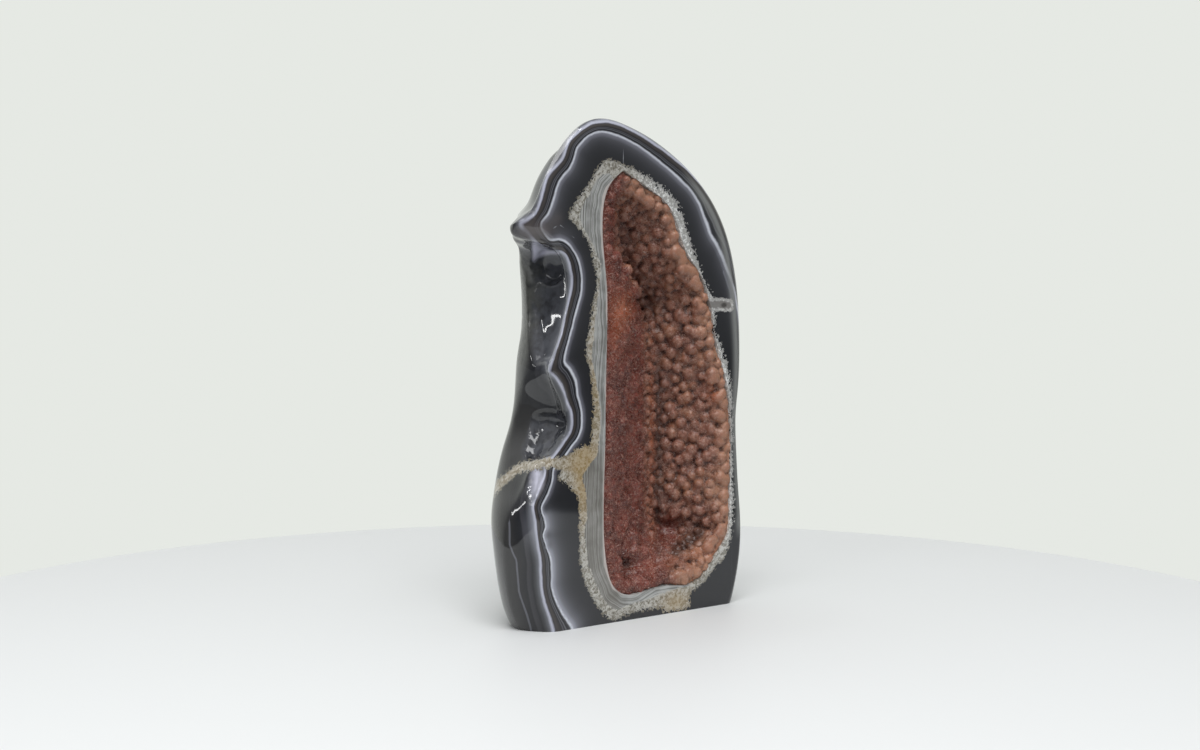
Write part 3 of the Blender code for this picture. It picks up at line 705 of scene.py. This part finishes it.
def storeCrust(piece, places, crown):
    storeValues(piece, "crown", crown)
    storeValues(piece, "brown", brownShare(places))
    x, z = places[:, 0] / mm - faceShift, places[:, 2] / mm
    storeValues(piece, "toHollow", signedDistance(x, z, hollowEdge))
    x, z = faceView(places)
    storeValues(piece, "orangeShare", np.clip(bells(x, z, orangeSpots), 0, 1))
    # painted shadow in the pit behind the floor ridge
    pitShade = 1.6 * np.exp(-((curveDistance(x, z, pitShadowLine) / crustLook["pitShadowWidth"]) ** 2))
    storeValues(piece, "shadeShare", np.clip(bells(x, z, shadeSpots) + pitShade, 0, 1))


crustCrown = crownShare(crust)
storeCrust(crust, vertexArray(crust), crustCrown)

# fine quartz points on the crust
pointsLook = {
    "count": 13000,
    "radius": (0.16, 0.36),  # mm
    "height": (0.22, 0.62),
    "lean": 0.55,
    "sides": 6,
    "ballReach": 4.0,  # mm from a ball's centre, further off no points grow
    "root": 0.1,
    "seed": 5,
}


def scatterPoints(base, name):
    rng = np.random.default_rng(pointsLook["seed"])
    data = base.data
    data.calc_loop_triangles()
    corners = np.empty(len(data.loop_triangles) * 3, np.int32)
    data.loop_triangles.foreach_get("vertices", corners)
    first = corners.reshape(-1, 3)[:, 0]
    corners = vertexArray(base)[corners.reshape(-1, 3)]
    across = np.cross(corners[:, 1] - corners[:, 0], corners[:, 2] - corners[:, 0])
    area = np.linalg.norm(across, axis=1)
    facing = across / np.maximum(area, 1e-12)[:, None]
    middle = corners.mean(axis=1)
    seen = (facing[:, 1] < 0.05) & (middle[:, 1] > frontY + 0.9 * mm)
    nearBall = np.array([ballTree.find(p)[2] for p in middle[seen]])
    chance = area * seen
    chance[np.flatnonzero(seen)[nearBall > pointsLook["ballReach"] * mm]] = 0
    picks = rng.choice(len(area), pointsLook["count"], p=chance / chance.sum())
    a, b = np.sort(rng.random((2, len(picks))), axis=0)
    tri = corners[picks]
    foot = tri[:, 0] * a[:, None] + tri[:, 1] * (b - a)[:, None] + tri[:, 2] * (1 - b)[:, None]
    axis = facing[picks] + rng.normal(0, pointsLook["lean"] * 0.5, (len(picks), 3))
    axis /= np.linalg.norm(axis, axis=1)[:, None]
    side = np.cross(axis, rng.normal(size=(len(picks), 3)))
    side /= np.linalg.norm(side, axis=1)[:, None]
    other = np.cross(axis, side)
    radius = rng.uniform(*pointsLook["radius"], len(picks))[:, None] * mm
    height = rng.uniform(*pointsLook["height"], len(picks))[:, None] * mm
    count = pointsLook["sides"]
    rings = [
        foot - axis * pointsLook["root"] * mm + radius * (side * math.cos(t) + other * math.sin(t))
        for t in (math.tau * i / count for i in range(count))
    ]
    places = np.stack(rings + [foot + axis * height], axis=1)
    start = np.arange(len(picks))[:, None, None] * (count + 1)
    sides = np.array([(i, (i + 1) % count, count) for i in range(count)])[None] + start
    bottom = np.arange(count)[::-1][None] + start[:, :, 0]
    faces = sides.reshape(-1, 3).tolist() + bottom.tolist()
    piece = bpy.data.objects.new(name, bpy.data.meshes.new(name))
    piece.data.from_pydata(places.reshape(-1, 3).tolist(), [], faces)
    bpy.context.scene.collection.objects.link(piece)
    storeCrust(piece, places.reshape(-1, 3), np.repeat(crustCrown[first[picks]], count + 1))
    return piece


quartz = scatterPoints(crust, "quartz_points")
selectOnly(crust)
bpy.ops.object.shade_smooth_by_angle(angle=math.radians(60))
print("quartz points:", len(quartz.data.polygons), "faces")


# shader building blocks
def newGroup(name, inputs, outputs):
    tree = bpy.data.node_groups.new(name, "ShaderNodeTree")
    for label, kind, value in inputs:
        socket = tree.interface.new_socket(label, in_out="INPUT", socket_type=kind)
        socket.default_value = value
    for label, kind in outputs:
        tree.interface.new_socket(label, in_out="OUTPUT", socket_type=kind)
    return tree, tree.nodes.new("NodeGroupInput"), tree.nodes.new("NodeGroupOutput")


def addNode(tree, kind, settings=None, **inputs):  # inputs: a socket or a fixed value; _ is a space
    node = tree.nodes.new("ShaderNode" + kind)
    for key, value in (settings or {}).items():
        setattr(node, key, value)
    for key, value in inputs.items():
        socket = node.inputs[int(key[1:])] if key[1:].isdigit() else node.inputs[key.replace("_", " ")]
        if isinstance(value, bpy.types.NodeSocket):
            tree.links.new(value, socket)
        else:
            socket.default_value = value
    return node


def calc(tree, operation, a, b=0.0, c=None):
    node = addNode(tree, "Math", {"operation": operation}, i0=a, i1=b)
    if c is not None:
        node.inputs[2].default_value = c
    return node.outputs[0]


def spread(tree, value, fromLow, fromHigh, toLow=0.0, toHigh=1.0):
    node = addNode(
        tree, "MapRange", {"interpolation_type": "SMOOTHSTEP"}, Value=value,
        From_Min=fromLow, From_Max=fromHigh, To_Min=toLow, To_Max=toHigh,
    )
    return node.outputs[0]


def mixColour(tree, share, a, b):
    node = addNode(tree, "Mix", {"data_type": "RGBA"}, i0=share)
    for index, value in ((6, a), (7, b)):
        if isinstance(value, bpy.types.NodeSocket):
            tree.links.new(value, node.inputs[index])
        else:
            node.inputs[index].default_value = (*value, 1)
    return node.outputs[2]


def stored(tree, name, factor=None):
    value = addNode(tree, "Attribute", {"attribute_name": name}).outputs["Fac"]
    return value if factor is None else calc(tree, "MULTIPLY", value, factor)


def within(tree, name, shift, *ends):  # mask that fades over the edge of a stored distance plus a shift
    return spread(tree, calc(tree, "ADD", stored(tree, name), shift), *ends)


def rampOf(tree, value, stops, low, high):
    ramp = addNode(tree, "ValToRGB", Fac=spreadLinear(tree, value, low, high))
    points = ramp.color_ramp.elements
    while len(points) < len(stops):
        points.new(0.5)
    for point, (at, colour) in zip(points, stops):
        point.position = (at - low) / (high - low)
        point.color = (*colour, 1)
    return ramp.outputs["Color"]


def spreadLinear(tree, value, low, high):
    return addNode(tree, "MapRange", Value=value, From_Min=low, From_Max=high).outputs[0]


# Grains: cells with a random shade each.
grains, grainsIn, grainsOut = newGroup(
    "crystal grains",
    [("Size mm", "NodeSocketFloat", 1.0), ("Jitter", "NodeSocketFloat", 1.0)],
    [("Shade", "NodeSocketFloat")],
)
place = addNode(grains, "TexCoord").outputs["Object"]
density = calc(grains, "DIVIDE", 1000.0, grainsIn.outputs["Size mm"])
cells = addNode(grains, "TexVoronoi", Vector=place, Scale=density, Randomness=grainsIn.outputs["Jitter"])
shade = addNode(grains, "SeparateColor", Color=cells.outputs["Color"]).outputs[0]
grains.links.new(shade, grainsOut.inputs["Shade"])

# Clouds: soft noise between 0 and 1.
clouds, cloudsIn, cloudsOut = newGroup(
    "soft clouds",
    [("Size mm", "NodeSocketFloat", 10.0), ("Detail", "NodeSocketFloat", 2.0)],
    [("Value", "NodeSocketFloat")],
)
place = addNode(clouds, "TexCoord").outputs["Object"]
density = calc(clouds, "DIVIDE", 1000.0, cloudsIn.outputs["Size mm"])
haze = addNode(clouds, "TexNoise", Vector=place, Scale=density, Detail=cloudsIn.outputs["Detail"])
clouds.links.new(haze.outputs["Fac"], cloudsOut.inputs["Value"])


def useGroup(tree, group, **inputs):
    node = tree.nodes.new("ShaderNodeGroup")
    node.node_tree = group
    for key, value in inputs.items():
        node.inputs[key.replace("_", " ")].default_value = value
    return node


def newMaterial(name):
    material = bpy.data.materials.new(name)
    material.use_nodes = True
    return material, material.node_tree, material.node_tree.nodes["Principled BSDF"]


# agate
agateLook = {
    "jet": (0.017, 0.018, 0.021),
    "smoke": (0.034, 0.034, 0.040),
    "white": (0.66, 0.69, 0.76),
    "lavender": (0.53, 0.55, 0.65),
    # the stone's lavender raised to a painted brightness, as if lit
    "litLilac": (0.80, 0.80, 0.95),
    "skin": (0.30, 0.31, 0.30),
    "mist": (0.095, 0.10, 0.115),
    "frost": (0.88, 0.89, 0.88),
    "brown": (0.060, 0.053, 0.050),
    "glow": (0.42, 0.435, 0.50),
    "greyDark": (0.17, 0.17, 0.16),
    "greyLight": (0.50, 0.51, 0.50),
    "grainDark": (0.17, 0.155, 0.12),
    "grainLight": (0.54, 0.53, 0.49),
    "grainWarm": (0.40, 0.27, 0.10),
    "smokyPatch": (0.13, 0.115, 0.115),
    # painted reflection of the grey room on the left side
    "panelReflection": (0.058, 0.060, 0.064),
    "frostShade": (0.42, 0.42, 0.41),
    "dusk": (0.135, 0.12, 0.095),
    "spurRim": (0.42, 0.41, 0.40),
    "spurCore": (0.21, 0.20, 0.19),
    "spurHole": (0.06, 0.055, 0.052),
    "hollowRim": (0.60, 0.54, 0.51),
    "rindDark": (0.085, 0.088, 0.078),
    "rindLight": (0.20, 0.205, 0.18),
    "polish": 0.055,  # roughness
    "rindRoughness": 0.5,
}
quartzIOR = 1.544
bandStops = [  # layer and colour
    (-16, (0.022, 0.023, 0.026)), (-7, (0.025, 0.026, 0.029)), (-2.2, (0.027, 0.027, 0.031)),
    (-0.7, (0.13, 0.13, 0.16)), (-0.2, agateLook["white"]), (0.3, agateLook["white"]),
    (0.7, (0.06, 0.06, 0.07)), (1.0, agateLook["smoke"]), (1.5, agateLook["jet"]),
    (1.85, (0.15, 0.155, 0.175)), (2.2, agateLook["jet"]), (2.6, (0.10, 0.10, 0.115)),
    (3.0, (0.024, 0.024, 0.027)), (4.2, agateLook["brown"]), (5.1, (0.05, 0.047, 0.05)),
    (5.5, (0.33, 0.335, 0.41)), (6.0, agateLook["lavender"]), (6.5, (0.36, 0.37, 0.44)),
    (7.1, (0.11, 0.115, 0.13)), (8.5, (0.05, 0.052, 0.057)), (10.0, agateLook["jet"]),
    (11, agateLook["smoke"]), (12.2, (0.044, 0.044, 0.050)), (12.8, agateLook["jet"]),
    (16, (0.028, 0.028, 0.030)), (19, (0.045, 0.045, 0.045)),
]
agate, tree, shader = newMaterial("polished_agate")
wave = useGroup(tree, clouds, Size_mm=5.0, Detail=3.0).outputs[0]
waveShift = calc(tree, "MULTIPLY_ADD", wave, 0.9, -0.45)
layerIn = calc(tree, "ADD", stored(tree, "layer"), waveShift)
banded = rampOf(tree, layerIn, bandStops, -16, 19)
colour = mixColour(tree, stored(tree, "glow"), banded, agateLook["glow"])
smokeHaze = useGroup(tree, clouds, Size_mm=16.0, Detail=3.0).outputs[0]
colour = mixColour(tree, spread(tree, smokeHaze, 0.5, 0.75, 0.0, 0.25), colour, agateLook["smoke"])
toFaint = calc(tree, "ABSOLUTE", calc(tree, "ADD", stored(tree, "toFaint"), waveShift))
mistHaze = useGroup(tree, clouds, Size_mm=3.5, Detail=4.0).outputs[0]
for mask, finish in (
    (spread(tree, toFaint, 0.2, 0.65, 0.18, 0.0), "lavender"),
    (stored(tree, "smoky", 0.8), "smokyPatch"),
    (stored(tree, "skin", 0.8), "skin"),
    (calc(tree, "MULTIPLY", stored(tree, "misty"), spread(tree, mistHaze, 0.3, 0.65, 0.15, 0.8)), "mist"),
    # the lighter grey patch on the left side is a painted reflection
    (within(tree, "toPanel", waveShift, 0.3, -0.5, 0.0, 0.55), "panelReflection"),
    (within(tree, "toLilac", waveShift, 0.3, -1.6, 0.0, 0.9), "litLilac"),
    (spread(tree, stored(tree, "toCrack"), 0.08, 0.30, 0.35, 0.0), "white"),
):
    colour = mixColour(tree, mask, colour, agateLook[finish])

coarse = useGroup(tree, grains, Size_mm=1.0, Jitter=1.0)
small = useGroup(tree, grains, Size_mm=0.45, Jitter=1.0)
speckle = calc(tree, "MULTIPLY", coarse.outputs["Shade"], 0.6)
speckle = calc(tree, "ADD", speckle, calc(tree, "MULTIPLY", small.outputs["Shade"], 0.4))
grainy = mixColour(tree, spread(tree, speckle, 0.1, 0.85), agateLook["grainDark"], agateLook["grainLight"])
warmGrains = mixColour(tree, 0.75, grainy, agateLook["grainWarm"])
grainy = mixColour(tree, stored(tree, "warm", 0.8), grainy, warmGrains)
frosty = stored(tree, "frosty")
icy = mixColour(tree, spread(tree, speckle, 0.35, 0.8), agateLook["frostShade"], agateLook["frost"])
grainy = mixColour(tree, calc(tree, "MULTIPLY", frosty, 0.85), grainy, icy)
jag = calc(tree, "MULTIPLY_ADD", coarse.outputs["Shade"], 1.5, -0.75)
jag = calc(tree, "ADD", jag, calc(tree, "MULTIPLY_ADD", small.outputs["Shade"], 0.9, -0.45))
jag = calc(tree, "MULTIPLY", jag, calc(tree, "MULTIPLY_ADD", frosty, 0.5, 1.0))
colour = mixColour(tree, within(tree, "toGrainy", jag, 0.12, -0.12), colour, grainy)

slowWave = useGroup(tree, clouds, Size_mm=22.0, Detail=2.0).outputs[0]
across = calc(tree, "ADD", stored(tree, "toHollow"), calc(tree, "MULTIPLY_ADD", slowWave, 5.0, -2.5))
across = calc(tree, "ADD", across, waveShift)
stripes = addNode(tree, "TexNoise", {"noise_dimensions": "1D"}, W=across, Scale=1.5, Detail=4.0)
streaks = useGroup(tree, clouds, Size_mm=7.0, Detail=4.0).outputs[0]
stripes = calc(tree, "ADD", stripes.outputs["Fac"], calc(tree, "MULTIPLY_ADD", streaks, 0.5, -0.25))
greys = mixColour(tree, spread(tree, stripes, 0.30, 0.70), agateLook["greyDark"], agateLook["greyLight"])
greys = mixColour(tree, stored(tree, "dusky", 0.5), greys, agateLook["dusk"])
greyMask = within(tree, "toGrey", calc(tree, "MULTIPLY", jag, 0.4), 0.25, -0.25)
colour = mixColour(tree, greyMask, colour, greys)
spurRim = within(tree, "toSpur", calc(tree, "MULTIPLY", jag, 0.3), 0.15, -0.2)
colour = mixColour(tree, spurRim, colour, mixColour(tree, 0.5, grainy, agateLook["spurRim"]))
nearHollow = spread(tree, stored(tree, "toHollow"), 1.2, 0.7, 0.0, 0.75)
for mask, finish in (
    (within(tree, "toSpur", calc(tree, "MULTIPLY", jag, 0.2), -0.9, -1.5, 0.0, 0.9), "spurCore"),
    (spread(tree, stored(tree, "toSpurHole"), 0.2, -0.5, 0.0, 0.85), "spurHole"),
    (calc(tree, "MULTIPLY", nearHollow, stored(tree, "leftRim")), "hollowRim"),
):
    colour = mixColour(tree, mask, colour, agateLook[finish])

dust = useGroup(tree, clouds, Size_mm=3.0, Detail=6.0).outputs[0]
rindShare = calc(tree, "MULTIPLY", stored(tree, "rind"), spread(tree, dust, 0.25, 0.5))
rindColour = mixColour(tree, spread(tree, dust, 0.3, 0.7), agateLook["rindDark"], agateLook["rindLight"])
colour = mixColour(tree, calc(tree, "MULTIPLY", rindShare, 0.85), colour, rindColour)
tree.links.new(colour, shader.inputs["Base Color"])
rough = addNode(
    tree, "Mix", {"data_type": "FLOAT"}, i0=rindShare, i2=agateLook["polish"], i3=agateLook["rindRoughness"],
).outputs[0]
tree.links.new(rough, shader.inputs["Roughness"])
shader.inputs["IOR"].default_value = quartzIOR
bump = addNode(tree, "Bump", Strength=0.5, Distance=0.0004, Height=calc(tree, "MULTIPLY", rindShare, dust))
tree.links.new(bump.outputs["Normal"], shader.inputs["Normal"])
stone.data.materials.append(agate)

# druse
druseLook = {
    "red": (0.185, 0.045, 0.030),
    # lighter tops of the lumps on the red wall: painted light
    "litRedCrown": (0.27, 0.095, 0.070),
    "deepRed": (0.105, 0.021, 0.013),
    "brown": (0.235, 0.096, 0.063),
    # lighter tops of the balls: painted light
    "crown": (0.325, 0.168, 0.120),
    # gaps between the balls: painted shade
    "recessShade": (0.050, 0.014, 0.008),
    "orange": (0.40, 0.180, 0.090),
    "tan": (0.46, 0.235, 0.140),
    "hotOrange": (0.42, 0.120, 0.050),
    # pale flecks on random cells: painted sparkle of tiny crystal faces
    "sparkleFleck": (0.50, 0.31, 0.25),
    # painted shade in the crease, the pocket and the pit
    "pitShade": (0.040, 0.013, 0.007),
}


def druseMaterial(name, roughness, bumpStrength):
    material, tree, shader = newMaterial(name)
    haze = useGroup(tree, clouds, Size_mm=9.0, Detail=2.0).outputs[0]
    sparkleFleck = useGroup(tree, grains, Size_mm=0.42, Jitter=1.0)
    red = mixColour(tree, spread(tree, haze, 0.35, 0.65), druseLook["deepRed"], druseLook["red"])
    warm = mixColour(tree, spread(tree, haze, 0.45, 0.75, 0.0, 0.6), druseLook["brown"], druseLook["orange"])
    nearRim = spread(tree, stored(tree, "toHollow"), -8.0, -1.0, 0.0, 0.8)
    warm = mixColour(tree, nearRim, warm, druseLook["tan"])
    # where a point stands out of the crust its colour is lightened: painted light on the ball tops
    crown = stored(tree, "crown")
    warm = mixColour(tree, spread(tree, crown, 0.55, 1.0, 0.0, 0.7), warm, druseLook["crown"])
    red = mixColour(tree, spread(tree, crown, 0.55, 0.9, 0.0, 0.5), red, druseLook["litRedCrown"])
    colour = mixColour(tree, stored(tree, "brown"), red, warm)
    # painted shade in the gaps between the balls
    gapShade = spread(tree, crown, 0.10, 0.62, 0.9, 0.0)
    for mask, finish in (
        # orange spots; the strip along the crease is painted bounced light
        (stored(tree, "orangeShare", 0.7), "hotOrange"),
        (calc(tree, "MULTIPLY", gapShade, calc(tree, "ADD", stored(tree, "brown"), 0.06)), "recessShade"),
        # painted glints on random cells
        (spread(tree, sparkleFleck.outputs["Shade"], 0.55, 1.0, 0.0, 0.5), "sparkleFleck"),
        (stored(tree, "shadeShare", 0.76), "pitShade"),
    ):
        colour = mixColour(tree, mask, colour, druseLook[finish])
    tree.links.new(colour, shader.inputs["Base Color"])
    rough = spread(tree, sparkleFleck.outputs["Shade"], 0.0, 1.0, roughness - 0.1, roughness + 0.1)
    tree.links.new(rough, shader.inputs["Roughness"])
    shader.inputs["IOR"].default_value = quartzIOR
    shader.inputs["Subsurface Weight"].default_value = 0.25
    shader.inputs["Subsurface Radius"].default_value = (1.0, 0.45, 0.3)
    shader.inputs["Subsurface Scale"].default_value = 1.2 * mm
    bump = addNode(tree, "Bump", Strength=bumpStrength, Distance=0.00025, Height=sparkleFleck.outputs["Shade"])
    tree.links.new(bump.outputs["Normal"], shader.inputs["Normal"])
    return material


crust.data.materials.append(druseMaterial("druse_crust", 0.42, 0.4))
quartz.data.materials.append(druseMaterial("druse_points", 0.20, 0.0))
print("materials done")

# into the frame
for piece, node, slot in ((stone, "agate_body", "polished_agate"), (crust, "crystal_crust", "crystal_crust")):
    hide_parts(node)
    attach(piece, "root")
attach(quartz, "root")

# table, lights and surroundings
stageLook = {
    "tableCentre": (-0.045, -0.05),
    "tableRadius": 0.285,
    "tableThickness": 0.012,
    "tableEdge": 0.0015,
    "tableColour": (0.73, 0.745, 0.75),
    "tableRoughness": 0.55,
    "backdrop": (0.79, 0.815, 0.775),
    "leftDark": (0.02, 0.02, 0.022),  # what the left side mirrors
    "lamps": [  # name, place, aim, width, power and, where it isn't the width, height
        ("soft_top", (-0.35, -0.55, 1.15), (0, 0, 0.08), 0.7, 10),
        ("soft_left", (-1.1, -0.3, 0.7), (0, 0, 0.09), 0.5, 1.5),
        ("strip_left", (-1.15, -0.60, 0.35), (0, 0, 0.1), 0.03, 0.5, 0.5),
        ("strip_side", (-0.77, 0.60, 0.40), (-0.031, -0.01, 0.11), 0.30, 0.35, 0.022),
    ],
    "ceiling": [(-0.9, 0.1, 1.5), (-0.6, -0.5, 1.7), (-1.2, -0.4, 1.3), (0.2, -0.9, 1.8), (-0.2, 0.5, 1.7)],
}
roomStops = [  # brightness around the stone by height, from straight down to straight up
    (-1.0, (0.30, 0.30, 0.30)), (-0.35, (0.10, 0.10, 0.10)), (-0.09, (0.012, 0.012, 0.013)),
    (-0.078, (0.16, 0.165, 0.17)), (0.25, (0.22, 0.225, 0.23)), (0.6, (0.55, 0.55, 0.56)),
    (1.0, (0.6, 0.6, 0.6)),
]
bpy.ops.object.select_all(action="DESELECT")
bpy.ops.mesh.primitive_cylinder_add(
    vertices=256, radius=stageLook["tableRadius"], depth=stageLook["tableThickness"],
    location=(*stageLook["tableCentre"], -stageLook["tableThickness"] / 2),
)
table = bpy.context.object
table.name = "round_table"
bpy.ops.object.mode_set(mode="EDIT")
bpy.ops.mesh.select_mode(type="EDGE")
bpy.ops.mesh.edges_select_sharp()
bpy.ops.mesh.bevel(offset=stageLook["tableEdge"], segments=3, affect="EDGES")
objectMode()
bpy.ops.object.transform_apply(location=True, rotation=True, scale=True)
bpy.ops.object.shade_smooth_by_angle(angle=math.radians(30))
tableFinish, tree, shader = newMaterial("table_white")
shader.inputs["Base Color"].default_value = (*stageLook["tableColour"], 1)
shader.inputs["Roughness"].default_value = stageLook["tableRoughness"]
table.data.materials.append(tableFinish)


def addLight(name, place, aim, width, power, height=None):
    bpy.ops.object.light_add(type="AREA", location=place)
    lamp = bpy.context.object
    lamp.name = name
    lamp.rotation_euler = (Vector(aim) - Vector(place)).to_track_quat("-Z", "Y").to_euler()
    lamp.data.shape = "RECTANGLE"
    lamp.data.size = width
    lamp.data.size_y = height or width
    lamp.data.energy = power
    lamp.visible_camera = False


for lamp in stageLook["lamps"]:
    addLight(*lamp)
for i, spot in enumerate(stageLook["ceiling"]):
    addLight(f"ceiling_{i}", spot, (0, 0, 0.1), 0.07, 0.5)

world = bpy.context.scene.world or bpy.data.worlds.new("studio")
bpy.context.scene.world = world
world.use_nodes = True
tree = world.node_tree
tree.nodes.clear()
way = addNode(tree, "TexCoord").outputs["Generated"]
parts = addNode(tree, "SeparateXYZ", Vector=way)
upward = rampOf(tree, parts.outputs["Z"], roomStops, -1.0, 1.0)
toLeft = spread(tree, parts.outputs["X"], -0.1, -0.5)
leftDark = calc(tree, "MULTIPLY", toLeft, spread(tree, parts.outputs["Z"], 0.5, 0.2))
upward = mixColour(tree, calc(tree, "MULTIPLY", leftDark, 0.85), upward, stageLook["leftDark"])
behind = calc(tree, "ADD", calc(tree, "MULTIPLY", parts.outputs["X"], 0.8), parts.outputs["Y"])
behind = spread(tree, behind, 0.3, 1.0)
room = mixColour(tree, behind, upward, stageLook["backdrop"])
seen = addNode(tree, "LightPath").outputs["Is Camera Ray"]
final = mixColour(tree, seen, room, stageLook["backdrop"])
sky = addNode(tree, "Background", Color=final, Strength=1.0)
out = addNode(tree, "OutputWorld")
tree.links.new(sky.outputs[0], out.inputs["Surface"])
bpy.context.scene.view_settings.view_transform = "Standard"
print("stage done")
